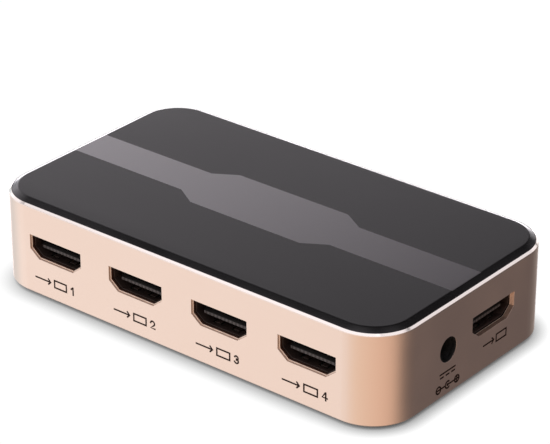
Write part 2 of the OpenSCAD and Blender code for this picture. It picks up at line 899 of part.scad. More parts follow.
module coupling_capacitors()
    color("#b08d68")
        at_sockets()
            for (i = [0 : capacitor_count - 1])
                on_board([(i - (capacitor_count - 1) / 2) * capacitor_pitch, capacitor_depth],
                         capacitor_size);

module surge_arrays()
    color("#2b2b2d")
        at_sockets()
            for (x = [-surge_pitch / 2, surge_pitch / 2])
                on_board([x, surge_depth], surge_size);

module chip_resistors()
    color("#1e1e20")
        for (i = [0 : resistor_columns - 1], j = [0 : resistor_rows - 1])
            on_board(resistors_at + resistor_pitch * [i, j], resistor_size);

case_frame();
top_panel();
panel_adhesive();
bottom_cover();
rubber_feet();
cover_screws();
main_board();
board_screws();
for (k = outputs) {
    at_output(k) socket_shell();
    at_output(k) socket_insulator();
    at_output(k) socket_contacts();
}
at_input() socket_shell();  // input_shell
at_input() socket_insulator();  // input_insulator
at_input() socket_contacts();  // input_contacts
jack_housing();
jack_centre_pin();
jack_sleeve_terminal();
jack_sleeve_spring();
splitter_chip();
splitter_chip_leads();
thermal_pad();
heat_sink();
controller_chip();
controller_chip_leads();
memory_chip();
memory_chip_leads();
voltage_regulator();
power_inductor();
bulk_capacitors();
bulk_capacitor_bases();
crystal();
coupling_capacitors();
surge_arrays();
chip_resistors();
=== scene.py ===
import json
import math

import bmesh
import bpy
import numpy as np
from mathutils import Matrix, Vector


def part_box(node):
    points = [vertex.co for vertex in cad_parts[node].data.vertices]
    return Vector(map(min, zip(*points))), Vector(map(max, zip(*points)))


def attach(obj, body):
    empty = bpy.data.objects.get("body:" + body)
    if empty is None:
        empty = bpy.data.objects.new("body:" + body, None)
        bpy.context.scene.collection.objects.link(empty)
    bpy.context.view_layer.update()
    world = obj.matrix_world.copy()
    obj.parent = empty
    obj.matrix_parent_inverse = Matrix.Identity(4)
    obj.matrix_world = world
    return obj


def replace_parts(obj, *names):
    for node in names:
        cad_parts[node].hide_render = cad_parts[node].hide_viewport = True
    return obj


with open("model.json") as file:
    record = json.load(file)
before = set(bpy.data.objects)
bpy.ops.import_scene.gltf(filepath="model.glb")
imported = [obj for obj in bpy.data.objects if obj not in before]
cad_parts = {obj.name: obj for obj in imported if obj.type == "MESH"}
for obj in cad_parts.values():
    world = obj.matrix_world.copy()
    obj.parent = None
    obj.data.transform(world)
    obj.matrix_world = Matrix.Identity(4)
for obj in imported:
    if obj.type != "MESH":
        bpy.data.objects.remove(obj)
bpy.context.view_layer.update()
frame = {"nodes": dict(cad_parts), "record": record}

mm = 0.001  # every size below is in millimetres, the scene is in metres
scene = bpy.context.scene
cadNodes = frame["nodes"]
nodeSlots = {part["node"]: part["material_slot"] for part in frame["record"]["subparts"]}


def millimetres(node):
    # lowest and highest corner of a node, in millimetres
    low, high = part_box(node)
    return np.array(low) / mm, np.array(high) / mm


frameLow, frameHigh = millimetres("case_frame")
panelLow, panelHigh = millimetres("top_panel")
jackLow, jackHigh = millimetres("jack_housing")
rimLevel = frameHigh[2]
frontWall = frameLow[1]
endWall = frameHigh[0]
outputNames = ["output_%d" % number for number in range(1, 5)]
socketNames = outputNames + ["input"]


def socketMiddle(name):
    # middle of a socket's shell, in millimetres
    low, high = millimetres(name + "_shell")
    return (low + high) / 2


# Camera, at the photograph's viewing angle

cameraSetup = dict(azimuth=39.1715, elevation=27.2857, distance=567.412, aim=(0, 0, 10.5),
                   slideRight=1.321, slideUp=7.991, focalPixels=2606.12, frameWidth=550, sensor=36.0,
                   nearest=10, farthest=20000)


def makeCamera(setup):
    # the camera stands back from the aim point and looks along its own minus Z
    azimuth = math.radians(setup["azimuth"])
    elevation = math.radians(setup["elevation"])
    back = Vector((math.sin(azimuth) * math.cos(elevation), -math.cos(azimuth) * math.cos(elevation),
                   math.sin(elevation)))
    right = Vector((math.cos(azimuth), math.sin(azimuth), 0))
    up = back.cross(right)
    place = back * setup["distance"] + Vector(setup["aim"])
    place = place + right * setup["slideRight"] + up * setup["slideUp"]
    data = bpy.data.cameras.new("photoCamera")
    data.sensor_fit = "HORIZONTAL"
    data.sensor_width = setup["sensor"]
    data.lens = setup["focalPixels"] / setup["frameWidth"] * setup["sensor"]
    data.clip_start = setup["nearest"] * mm
    data.clip_end = setup["farthest"] * mm
    camera = bpy.data.objects.new("photoCamera", data)
    turn = Matrix((right, up, back)).transposed()
    camera.matrix_world = Matrix.Translation(place * mm) @ turn.to_4x4()
    scene.collection.objects.link(camera)
    scene.camera = camera


makeCamera(cameraSetup)
scene.view_settings.view_transform = "Standard"
scene.view_settings.look = "None"
print("camera: in place")


# Node helpers

def addNode(tree, kind, inputs=None, **settings):
    # a node with its settings, and its inputs set or linked by name or number
    node = tree.nodes.new(kind)
    for name, value in settings.items():
        setattr(node, name, value)
    for name, value in (inputs or {}).items():
        if isinstance(value, bpy.types.NodeSocket):
            tree.links.new(value, node.inputs[name])
        else:
            node.inputs[name].default_value = value
    return node


def calculate(tree, operation, first, second=0.0, third=0.0):
    node = addNode(tree, "ShaderNodeMath", {0: first, 1: second, 2: third}, operation=operation)
    return node.outputs[0]


def fade(tree, value, start, end, low=0.0, high=1.0, kind="SMOOTHSTEP"):
    # a value's way from start to end, as a smooth step from low to high
    node = addNode(tree, "ShaderNodeMapRange",
                   {"Value": value, "From Min": start, "From Max": end, "To Min": low, "To Max": high},
                   interpolation_type=kind)
    return node.outputs["Result"]


def scaleColour(tree, colour, share):
    node = addNode(tree, "ShaderNodeVectorMath", {0: colour, "Scale": share}, operation="SCALE")
    return node.outputs[0]


def addColours(tree, first, second):
    return addNode(tree, "ShaderNodeVectorMath", {0: first, 1: second}, operation="ADD").outputs[0]


def mixColour(tree, share, first, second):
    node = addNode(tree, "ShaderNodeMix", {0: share, 6: first, 7: second}, data_type="RGBA")
    return node.outputs[2]


def objectAxes(tree):
    # place of the shaded point along X, Y and Z, in metres
    here = addNode(tree, "ShaderNodeTexCoord").outputs["Object"]
    return addNode(tree, "ShaderNodeSeparateXYZ", {0: here}).outputs


# Studio light: a world of soft lamps, seen only by the object, and a white surround for the camera

studioLight = dict(
    # colour round the horizon and below it, by compass angle from the front, towards the right
    horizon=[(-180, (0.30, 0.29, 0.28)), (-140, (0.56, 0.57, 0.58)), (-100, (0.73, 0.80, 0.85)),
             (-80, (0.79, 0.88, 0.92)), (-60, (1.14, 1.14, 1.16)), (-30, (0.91, 0.905, 0.91)),
             (-6, (0.88, 0.75, 0.63)), (55, (0.82, 0.62, 0.50)), (83, (0.735, 0.54, 0.425)),
             (109, (0.170, 0.142, 0.126)), (135, (0.116, 0.103, 0.107)), (160, (0.116, 0.103, 0.107)),
             (180, (0.30, 0.29, 0.28))],
    horizonTop=0.4,  # sine of the angle above the horizon where that colour ends
    overhead=(0.050, 0.047, 0.049),
    # soft lamps: direction, half angle of the core, half angle of the edge, strength
    lamps=[((-0.10, -0.60, 0.79), 32, 39, 1.0), ((-0.85, 0.50, 0.25), 8, 40, 0.75),
           ((-0.88, 0.42, 0.26), 2, 14, 1.6), ((0.46, 0.67, 0.58), 8, 13, 0.80),
           ((0.52, 0.10, 0.85), 15, 30, 0.90), ((-0.92, -0.10, 0.40), 14, 30, 0.95),
           ((-0.35, 0.80, 0.49), 3, 17, 0.10)],
    lampTint=(1.0, 0.945, 1.0),
    # the same for glows that reach below the horizon
    glows=[((-0.64, 0.73, -0.24), 12, 28, 4.4), ((-0.18, 0.98, 0.02), 11, 17, 0.9),
           ((0.24, 0.90, 0.36), 8, 16, 0.9)],
    surround=(1, 1, 1),
    sampleMap=1024)


def softSpots(tree, direction, spots):
    # sum of round spots: each is full within its core and fades to nothing at its edge
    total = 0.0
    for toward, core, edge, strength in spots:
        facing = addNode(tree, "ShaderNodeVectorMath", {0: direction, 1: Vector(toward).normalized()},
                         operation="DOT_PRODUCT").outputs["Value"]
        outer = math.cos(math.radians(edge))
        inner = math.cos(math.radians(core))
        total = calculate(tree, "ADD", fade(tree, facing, outer, inner, 0.0, strength), total)
    return total


def makeWorld(light):
    # radiance of a direction: a ramp by compass angle low down, soft round lamps higher up, and glows
    # at any height
    world = bpy.data.worlds.new("studio")
    world.use_nodes = True
    tree = world.node_tree
    tree.nodes.clear()
    direction = addNode(tree, "ShaderNodeTexCoord").outputs["Generated"]
    axes = addNode(tree, "ShaderNodeSeparateXYZ", {0: direction}).outputs
    frontwards = calculate(tree, "MULTIPLY", axes["Y"], -1.0)
    compass = calculate(tree, "ARCTAN2", axes["X"], frontwards)
    place = calculate(tree, "MULTIPLY_ADD", compass, 0.5 / math.pi, 0.5)
    ramp = addNode(tree, "ShaderNodeValToRGB", {0: place})
    stops = ramp.color_ramp.elements  # a new ramp has one stop at each end
    for angle, colour in light["horizon"]:
        share = angle / 360 + 0.5
        if share in (0, 1):
            stop = stops[0] if share == 0 else stops[-1]
        else:
            stop = stops.new(share)
        stop.color = (*colour, 1)
    lampLight = scaleColour(tree, light["lampTint"], softSpots(tree, direction, light["lamps"]))
    above = addColours(tree, lampLight, light["overhead"])
    glow = scaleColour(tree, light["lampTint"], softSpots(tree, direction, light["glows"]))
    low = fade(tree, axes["Z"], 0.0, light["horizonTop"], 1.0, 0.0)
    below = scaleColour(tree, ramp.outputs[0], low)
    raised = scaleColour(tree, above, calculate(tree, "SUBTRACT", 1.0, low))
    studio = addColours(tree, addColours(tree, below, raised), glow)
    lit = addNode(tree, "ShaderNodeBackground", {"Color": studio})
    plain = addNode(tree, "ShaderNodeBackground", {"Color": (*light["surround"], 1)})
    seen = addNode(tree, "ShaderNodeLightPath").outputs["Is Camera Ray"]
    both = addNode(tree, "ShaderNodeMixShader", {0: seen, 1: lit.outputs[0], 2: plain.outputs[0]})
    addNode(tree, "ShaderNodeOutputWorld", {"Surface": both.outputs[0]})
    world.cycles.sampling_method = "MANUAL"
    world.cycles.sample_map_resolution = light["sampleMap"]
    scene.world = world


# Floor: the shade's reach changes along X over the right stretch, and its lean over the left one

floorSetup = dict(halfSide=900, rightStretch=(30, 54), shadeReach=(4.7, 3.5), leftStretch=(-54, -36),
                  shadeLean=(-0.46, -0.28), shadeSamples=16, mirrorReach=1.2, mirrorSamples=8, glow=1.02)


def makeFloor(setup):
    # a flat square under the feet; it glows white for the camera and darkens where the object is close,
    # in reflections a shorter shade dims the studio seen through it, and from below it is clear
    half = setup["halfSide"] * mm
    corners = [(-half, -half, 0), (half, -half, 0), (half, half, 0), (-half, half, 0)]
    mesh = bpy.data.meshes.new("floor")
    mesh.from_pydata(corners, [], [(0, 1, 2, 3)])
    floor = bpy.data.objects.new("floor", mesh)
    scene.collection.objects.link(floor)
    material = bpy.data.materials.new("paleFloor")
    material.use_nodes = True
    tree = material.node_tree
    tree.nodes.clear()
    along = objectAxes(tree)["X"]
    start, end = setup["rightStretch"]
    wide, narrow = setup["shadeReach"]
    reach = fade(tree, along, start * mm, end * mm, wide * mm, narrow * mm)
    start, end = setup["leftStretch"]
    slant = fade(tree, along, start * mm, end * mm, *setup["shadeLean"])
    lean = addNode(tree, "ShaderNodeCombineXYZ", {"X": slant, "Z": 1.0})
    leant = addNode(tree, "ShaderNodeVectorMath", {0: lean.outputs[0]}, operation="NORMALIZE")
    closeness = addNode(tree, "ShaderNodeAmbientOcclusion", {"Distance": reach, "Normal": leant.outputs[0]},
                        samples=setup["shadeSamples"])
    shade = addNode(tree, "ShaderNodeEmission",
                    {"Color": closeness.outputs["Color"], "Strength": setup["glow"]})
    contact = addNode(tree, "ShaderNodeAmbientOcclusion", {"Distance": setup["mirrorReach"] * mm},
                      samples=setup["mirrorSamples"])
    dimmed = addNode(tree, "ShaderNodeBsdfTransparent", {"Color": contact.outputs["Color"]})
    seen = addNode(tree, "ShaderNodeLightPath").outputs["Is Camera Ray"]
    above = addNode(tree, "ShaderNodeMixShader", {0: seen, 1: dimmed.outputs[0], 2: shade.outputs[0]})
    clear = addNode(tree, "ShaderNodeBsdfTransparent")
    under = addNode(tree, "ShaderNodeNewGeometry").outputs["Backfacing"]
    sided = addNode(tree, "ShaderNodeMixShader", {0: under, 1: above.outputs[0], 2: clear.outputs[0]})
    addNode(tree, "ShaderNodeOutputMaterial", {"Surface": sided.outputs[0]})
    mesh.materials.append(material)
    for ray in ("diffuse", "transmission", "volume_scatter", "shadow"):
        setattr(floor, "visible_" + ray, False)


makeWorld(studioLight)
makeFloor(floorSetup)
print("studio: world and floor are set")


# Shared surface effects, as node groups

grainNoise = dict(fineDetail=2.0, fineRough=0.6, patchDetail=4.0, patchRough=0.55)
edgeTurn = dict(samples=6, flat=0.995, turned=0.90, breakDetail=3.0, breakFrom=0.35, breakTo=0.65)


def newGroup(name, inputs, outputs):
    # a shader group with float inputs and the named outputs
    tree = bpy.data.node_groups.new(name, "ShaderNodeTree")
    for label, value in inputs.items():
        socket = tree.interface.new_socket(label, in_out="INPUT", socket_type="NodeSocketFloat")
        socket.default_value = value
    for label, kind in outputs.items():
        tree.interface.new_socket(label, in_out="OUTPUT", socket_type=kind)
    return tree, tree.nodes.new("NodeGroupInput").outputs, tree.nodes.new("NodeGroupOutput").inputs


def makeGrainGroup(noise):
    # fine grain of a blasted, moulded or cast surface, and wider patches; both sizes are in millimetres
    tree, source, result = newGroup("fineGrain", {"Grain Size": 0.2, "Patch Size": 8.0},
                                    {"Height": "NodeSocketFloat", "Patch": "NodeSocketFloat"})
    here = addNode(tree, "ShaderNodeTexCoord").outputs["Object"]
    fine = calculate(tree, "DIVIDE", 1 / mm, source["Grain Size"])
    grain = addNode(tree, "ShaderNodeTexNoise",
                    {"Vector": here, "Scale": fine, "Detail": noise["fineDetail"],
                     "Roughness": noise["fineRough"]})
    wide = calculate(tree, "DIVIDE", 1 / mm, source["Patch Size"])
    patch = addNode(tree, "ShaderNodeTexNoise",
                    {"Vector": here, "Scale": wide, "Detail": noise["patchDetail"],
                     "Roughness": noise["patchRough"]})
    tree.links.new(grain.outputs["Fac"], result["Height"])
    tree.links.new(patch.outputs["Fac"], result["Patch"])
    return tree


def makeEdgeGroup(turn):
    # how far the surface turns within a small radius, broken up by noise: 0 on flats, up to 1 along edges
    tree, source, result = newGroup("edgeWear", {"Radius": 0.25, "Breakup Size": 1.5},
                                    {"Edge": "NodeSocketFloat"})
    reach = calculate(tree, "MULTIPLY", source["Radius"], mm)
    rounded = addNode(tree, "ShaderNodeBevel", {"Radius": reach}, samples=turn["samples"]).outputs[0]
    flat = addNode(tree, "ShaderNodeNewGeometry").outputs["Normal"]
    agree = addNode(tree, "ShaderNodeVectorMath", {0: rounded, 1: flat}, operation="DOT_PRODUCT")
    turned = fade(tree, agree.outputs["Value"], turn["flat"], turn["turned"])
    here = addNode(tree, "ShaderNodeTexCoord").outputs["Object"]
    scale = calculate(tree, "DIVIDE", 1 / mm, source["Breakup Size"])
    broken = addNode(tree, "ShaderNodeTexNoise",
                     {"Vector": here, "Scale": scale, "Detail": turn["breakDetail"]})
    kept = fade(tree, broken.outputs["Fac"], turn["breakFrom"], turn["breakTo"])
    tree.links.new(calculate(tree, "MULTIPLY", turned, kept), result["Edge"])
    return tree


grainGroup = makeGrainGroup(grainNoise)
edgeGroup = makeEdgeGroup(edgeTurn)


# Material helpers

patchSpan = (0.3, 0.7)  # the patch noise seldom leaves this range
wearParts = 4  # worn stretches along edges are this many times finer than the patches


def useGroup(tree, group, values):
    node = tree.nodes.new("ShaderNodeGroup")
    node.node_tree = group
    for name, value in values.items():
        node.inputs[name].default_value = value
    return node.outputs


def newMaterial(name, finish):
    # a material with a bare Principled shader, and the grain of its finish
    material = bpy.data.materials.new(name)
    material.use_nodes = True
    tree = material.node_tree
    tree.nodes.clear()
    shader = tree.nodes.new("ShaderNodeBsdfPrincipled")
    addNode(tree, "ShaderNodeOutputMaterial", {"Surface": shader.outputs[0]})
    grain = useGroup(tree, grainGroup, {"Grain Size": finish["grain"], "Patch Size": finish["patch"]})
    return material, tree, shader, grain


def byPatch(tree, grain, low, high, span=patchSpan):
    # a value that wanders between low and high with the patches
    return fade(tree, grain["Patch"], *span, low, high)


def addBump(tree, shader, finish, height, normal=None):
    # a bump of up to one grain's depth, on the surface's own normal or on the one given
    inputs = {"Strength": finish["bump"], "Distance": finish["grain"] * mm, "Height": height}
    if normal is not None:
        inputs["Normal"] = normal
    bump = addNode(tree, "ShaderNodeBump", inputs)
    tree.links.new(bump.outputs[0], shader.inputs["Normal"])


def paintedHighlightShare(tree, paintedHighlight):
    # share of a painted highlight band: 1 between two heights and 0 elsewhere, dimmed by a tick at each step
    # along the wall
    axes = objectAxes(tree)
    low, high, soft = (paintedHighlight[name] * mm for name in ("low", "high", "soft"))
    above = fade(tree, axes["Z"], low - soft, low + soft)
    below = fade(tree, axes["Z"], high + soft, high - soft)
    along = calculate(tree, "ADD", axes["X"], axes["Y"])
    wave = calculate(tree, "PINGPONG", calculate(tree, "DIVIDE", along, paintedHighlight["pitch"] * mm), 0.5)
    lit = fade(tree, wave, *paintedHighlight["tickEdge"], 1.0 - paintedHighlight["tick"], 1.0)
    return calculate(tree, "MULTIPLY", calculate(tree, "MULTIPLY", above, below), lit)


def grainyFinish(name, finish):
    # colour between two tones by patch, with brighter worn edges and a lighter band of painted highlight
    # where the finish has one; roughness by patch, and a little bump by grain
    material, tree, shader, grain = newMaterial(name, finish)
    tone = mixColour(tree, grain["Patch"], (*finish["dark"], 1), (*finish["light"], 1))
    if "wear" in finish:
        edge = useGroup(tree, edgeGroup, {"Radius": finish["wearReach"],
                                          "Breakup Size": finish["patch"] / wearParts})
        worn = calculate(tree, "MULTIPLY", edge["Edge"], finish["wear"])
        tone = mixColour(tree, worn, tone, (*finish["worn"], 1))
    # painted highlight: a lighter band where the finish has one
    if "paintedHighlight" in finish:
        tone = mixColour(tree, paintedHighlightShare(tree, finish["paintedHighlight"]), tone, (*finish["paintedHighlight"]["tone"], 1))
    tree.links.new(tone, shader.inputs["Base Color"])
    tree.links.new(byPatch(tree, grain, *finish["rough"]), shader.inputs["Roughness"])
    addBump(tree, shader, finish, grain["Height"])
    shader.inputs["Metallic"].default_value = finish.get("metal", 0.0)
    shader.inputs["Specular IOR Level"].default_value = finish.get("shine", 0.5)
    return material


# Finishes of the record's slots that need no pattern of their own

plainFinishes = {
    "black_plastic": dict(dark=(0.010, 0.010, 0.010), light=(0.018, 0.018, 0.018), rough=(0.42, 0.55),
                          grain=0.25, patch=9, bump=0.35, wear=0.35, wearReach=0.2, worn=(0.05, 0.05, 0.05)),
    "adhesive": dict(dark=(0.015, 0.015, 0.015), light=(0.03, 0.03, 0.03), rough=(0.7, 0.85),
                     grain=0.5, patch=5, bump=0.5),
    "rubber": dict(dark=(0.020, 0.020, 0.021), light=(0.035, 0.035, 0.036), rough=(0.72, 0.88),
                   grain=0.15, patch=3, bump=0.4, wear=0.4, wearReach=0.3, worn=(0.07, 0.07, 0.07)),
    "screw_steel": dict(dark=(0.10, 0.10, 0.105), light=(0.18, 0.18, 0.19), rough=(0.28, 0.42),
                        grain=0.12, patch=1.5, bump=0.12, metal=1.0, wear=0.7, wearReach=0.15,
                        worn=(0.5, 0.5, 0.52)),
    # the socket shells' steel is painted dark brown, as painted shade inside the sockets
    "shell_steel": dict(dark=(0.058, 0.040, 0.034), light=(0.086, 0.062, 0.054), rough=(0.36, 0.48),
                        grain=0.10, patch=3, bump=0.08, metal=0.7, wear=0.5, wearReach=0.1,
                        worn=(0.16, 0.14, 0.13)),
    # the tongues get a lighter band along their tips, at this height: a painted highlight, broken by darker
    # ticks
    "insulator": dict(dark=(0.011, 0.011, 0.011), light=(0.018, 0.018, 0.017), rough=(0.40, 0.50),
                      grain=0.12, patch=2, bump=0.15, shine=0.12,
                      paintedHighlight=dict(tone=(0.155, 0.145, 0.149), low=11.40, high=12.06, soft=0.10,
                                 pitch=1.0, tick=0.5, tickEdge=(0.1, 0.4))),
    "contact_gold": dict(dark=(0.72, 0.50, 0.20), light=(0.86, 0.63, 0.30), rough=(0.18, 0.30),
                         grain=0.06, patch=0.8, bump=0.06, metal=1.0),
    "bright_metal": dict(dark=(0.62, 0.62, 0.63), light=(0.76, 0.76, 0.77), rough=(0.15, 0.28),
                         grain=0.08, patch=1.2, bump=0.06, metal=1.0),
    "spring_bronze": dict(dark=(0.62, 0.46, 0.24), light=(0.74, 0.56, 0.32), rough=(0.22, 0.35),
                          grain=0.08, patch=1.5, bump=0.08, metal=1.0),
    "chip": dict(dark=(0.016, 0.016, 0.017), light=(0.026, 0.026, 0.027), rough=(0.55, 0.68),
                 grain=0.08, patch=2, bump=0.3),
    "tin": dict(dark=(0.60, 0.61, 0.62), light=(0.74, 0.74, 0.75), rough=(0.25, 0.4),
                grain=0.06, patch=0.6, bump=0.1, metal=1.0),
    "pad": dict(dark=(0.27, 0.31, 0.37), light=(0.34, 0.38, 0.45), rough=(0.75, 0.9),
                grain=0.2, patch=3, bump=0.3),
    "sink_aluminium": dict(dark=(0.58, 0.59, 0.60), light=(0.70, 0.71, 0.72), rough=(0.3, 0.45),
                           grain=0.1, patch=3, bump=0.15, metal=1.0, wear=0.5, wearReach=0.2,
                           worn=(0.85, 0.85, 0.86)),
    "ferrite": dict(dark=(0.040, 0.040, 0.042), light=(0.065, 0.065, 0.068), rough=(0.6, 0.75),
                    grain=0.12, patch=1.5, bump=0.35),
    "can_aluminium": dict(dark=(0.66, 0.67, 0.68), light=(0.78, 0.79, 0.80), rough=(0.2, 0.32),
                          grain=0.08, patch=2, bump=0.06, metal=1.0),
    "ceramic": dict(dark=(0.36, 0.24, 0.15), light=(0.46, 0.32, 0.21), rough=(0.4, 0.55),
                    grain=0.06, patch=0.7, bump=0.15),
    "board": dict(dark=(0.003, 0.020, 0.012), light=(0.005, 0.030, 0.018), rough=(0.3, 0.42),
                  grain=0.3, patch=6, bump=0.1),
}
inkFinish = dict(dark=(0.019, 0.009, 0.006), light=(0.029, 0.014, 0.009), rough=(0.6, 0.72),
                 grain=0.12, patch=1.5, bump=0.2, shine=0.12)


# Case frame: blasted gold with a bright rim

goldSetup = dict(dark=(0.885, 0.690, 0.585), light=(0.915, 0.722, 0.617), rough=(0.34, 0.40), grain=0.14,
                 patch=14, bump=0.10, polished=(0.98, 0.925, 0.86), polishedRough=0.12, chamfer=0.48,
                 polishBelow=0.22, polishAbove=0.20, edgeRadius=0.07, edgeSamples=8)


def makeGold(setup):
    # blasted and dyed aluminium; the chamfer round the rim is cut bright, and its polish fades out
    # a little way down the wall
    material, tree, shader, grain = newMaterial("blastedGold", setup)
    tone = mixColour(tree, grain["Patch"], (*setup["dark"], 1), (*setup["light"], 1))
    foot = rimLevel - setup["chamfer"]
    bright = fade(tree, objectAxes(tree)["Z"], (foot - setup["polishBelow"]) * mm,
                  (foot + setup["polishAbove"]) * mm)
    tree.links.new(mixColour(tree, bright, tone, (*setup["polished"], 1)), shader.inputs["Base Color"])
    dull = calculate(tree, "SUBTRACT", 1.0, bright)
    polish = calculate(tree, "MULTIPLY", bright, setup["polishedRough"])
    rough = calculate(tree, "MULTIPLY_ADD", byPatch(tree, grain, *setup["rough"]), dull, polish)
    tree.links.new(rough, shader.inputs["Roughness"])
    eased = addNode(tree, "ShaderNodeBevel", {"Radius": setup["edgeRadius"] * mm},
                    samples=setup["edgeSamples"]).outputs[0]
    addBump(tree, shader, setup, calculate(tree, "MULTIPLY", grain["Height"], dull), eased)
    shader.inputs["Metallic"].default_value = 1.0
    return material


# Top panel: black gloss with a printed stripe

stripeSetup = dict(half=5.1, badgeHalf=8.4, badgeFlat=15.1, badgeEnd=20.6, light=(0.33, 0.32, 0.33),
                   dark=(0.078, 0.073, 0.078), rough=0.34, inkEdge=0.06, fullBelow=0.02, noneBelow=0.06)
panelSetup = dict(black=(0.0050, 0.0047, 0.0050), smudge=(0.0065, 0.0061, 0.0065), rough=(0.20, 0.26),
                  roughSpan=(0.35, 0.65), grain=0.3, patch=30, bump=0.015)


def makePanel(setup, stripe):
    # black gloss with a grey band printed along its top; the band widens to a long hexagon in the middle,
    # and its colour is painted lighter at the left end and darker at the right, as painted light
    material, tree, shader, grain = newMaterial("panelGloss", setup)
    axes = objectAxes(tree)
    along = calculate(tree, "ABSOLUTE", axes["X"])
    across = calculate(tree, "ABSOLUTE", axes["Y"])
    half = fade(tree, along, stripe["badgeFlat"] * mm, stripe["badgeEnd"] * mm, stripe["badgeHalf"] * mm,
                stripe["half"] * mm, "LINEAR")
    inside = calculate(tree, "SUBTRACT", half, across)
    band = fade(tree, inside, -stripe["inkEdge"] / 2 * mm, stripe["inkEdge"] / 2 * mm)
    top = panelHigh[2]
    onTop = fade(tree, axes["Z"], (top - stripe["noneBelow"]) * mm, (top - stripe["fullBelow"]) * mm)
    band = calculate(tree, "MULTIPLY", band, onTop)
    # painted light: the band's colour runs from light at its left end to dark at its right end
    length = fade(tree, axes["X"], panelLow[0] * mm, panelHigh[0] * mm, 0.0, 1.0, "LINEAR")
    inkWithPaintedFalloff = mixColour(tree, length, (*stripe["light"], 1), (*stripe["dark"], 1))
    black = mixColour(tree, grain["Patch"], (*setup["black"], 1), (*setup["smudge"], 1))
    tree.links.new(mixColour(tree, band, black, inkWithPaintedFalloff), shader.inputs["Base Color"])
    gloss = byPatch(tree, grain, *setup["rough"], setup["roughSpan"])
    rough = addNode(tree, "ShaderNodeMix", {0: band, 2: gloss, 3: stripe["rough"]}).outputs[0]
    tree.links.new(rough, shader.inputs["Roughness"])
    addBump(tree, shader, setup, grain["Height"])
    return material


# Cut-outs: bare metal, by depth behind the wall's face, with painted shade on their walls

# the side tone and the deep tone are painted shade of the cut-out's walls
cutSetup = dict(toEnd=False, step=0.48, band=0.03, side=(0.62, 0.45, 0.35), ring=(0.97, 0.79, 0.66),
                deepShade=(0.08, 0.033, 0.020), shaded=0.0, shadeSpan=(0.1, 0.9), mottle=0.07, rough=(0.43, 0.53),
                grain=0.10, patch=2, bump=0.08, metal=0.2)
# at the input the side wall is painted brighter, as painted light, and faces that look upwards are darkened
# further, as painted shade
endCutSetup = dict(cutSetup, toEnd=True, step=1.0, side=(0.92, 0.62, 0.46), shaded=0.8)


def makeCut(name, setup):
    # cut metal: a side wall, the ring of its step, then a dark inner wall; the side wall's darker tone and
    # the dark inner wall are painted shade, and where it lies flat it may be darkened further as painted
    # shade
    material, tree, shader, grain = newMaterial(name, setup)
    axes = objectAxes(tree)
    if setup["toEnd"]:
        depth = calculate(tree, "SUBTRACT", endWall * mm, axes["X"])
    else:
        depth = calculate(tree, "SUBTRACT", axes["Y"], frontWall * mm)
    step, band = setup["step"] * mm, setup["band"] * mm
    onStep = fade(tree, depth, step - band, step - band / 2)
    pastStep = fade(tree, depth, step + band / 2, step + band)
    # painted shade: the side wall darker than the ring, and the wall past the step dark
    tone = mixColour(tree, onStep, (*setup["side"], 1), (*setup["ring"], 1))
    tone = mixColour(tree, pastStep, tone, (*setup["deepShade"], 1))
    # painted shade: faces that look upwards are darkened by the share given
    facing = addNode(tree, "ShaderNodeNewGeometry").outputs["Normal"]
    level = addNode(tree, "ShaderNodeSeparateXYZ", {0: facing}).outputs["Z"]
    paintedFlatShade = fade(tree, level, *setup["shadeSpan"], 1.0, 1.0 - setup["shaded"])
    mottled = byPatch(tree, grain, 1.0 - setup["mottle"], 1.0 + setup["mottle"])
    tone = scaleColour(tree, tone, calculate(tree, "MULTIPLY", paintedFlatShade, mottled))
    tree.links.new(tone, shader.inputs["Base Color"])
    tree.links.new(byPatch(tree, grain, *setup["rough"]), shader.inputs["Roughness"])
    addBump(tree, shader, setup, grain["Height"])
    shader.inputs["Metallic"].default_value = setup["metal"]
    return material


materials = {slot: grainyFinish(slot, finish) for slot, finish in plainFinishes.items()}
materials["gold_aluminium"] = makeGold(goldSetup)
materials["black_gloss"] = makePanel(panelSetup, stripeSetup)
printInk = grainyFinish("printInk", inkFinish)
cutGold = makeCut("cutGold", cutSetup)
endCutGold = makeCut("endCutGold", endCutSetup)
for name, node in cadNodes.items():
    node.data.materials.clear()
    node.data.materials.append(materials[nodeSlots[name]])
print("materials: %d finishes on %d nodes" % (len(materials), len(cadNodes)))


# Mesh helpers

def gridFaces(rows, columns, wrapRows=False, wrapColumns=False):
    # quads between neighbouring points of a grid, which may close on itself either way
    row = np.arange(rows if wrapRows else rows - 1)
    column = np.arange(columns if wrapColumns else columns - 1)
    row, column = (index.ravel() for index in np.meshgrid(row, column, indexing="ij"))
    nextRow = (row + 1) % rows
    nextColumn = (column + 1) % columns
    return np.stack((row * columns + column, nextRow * columns + column, nextRow * columns + nextColumn,
                     row * columns + nextColumn), axis=-1)


def newSkin(points, faces):
    # an editable skin from points in millimetres and the faces between them
    places = (np.reshape(points, (-1, 3)) * mm).tolist()
    mesh = bpy.data.meshes.new("skin")
    mesh.from_pydata(places, [], [list(map(int, face)) for face in faces])
    skin = bmesh.new()
    skin.from_mesh(mesh)
    bpy.data.meshes.remove(mesh)
    return skin


def placeSkin(name, skin, material, slot, body="case", smoothUnder=32):
    # an object at the origin; its closed skin is turned outwards
    bmesh.ops.recalc_face_normals(skin, faces=skin.faces)
    mesh = bpy.data.meshes.new(name)
    skin.to_mesh(mesh)
    skin.free()
    mesh.shade_smooth()
    mesh.set_sharp_from_angle(angle=math.radians(smoothUnder))
    mesh.materials.append(material)
    piece = bpy.data.objects.new(name, mesh)
    scene.collection.objects.link(piece)
    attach(piece, body)
    return piece


def makePiece(name, points, faces, material, slot, **settings):
    return placeSkin(name, newSkin(points, faces), material, slot, **settings)


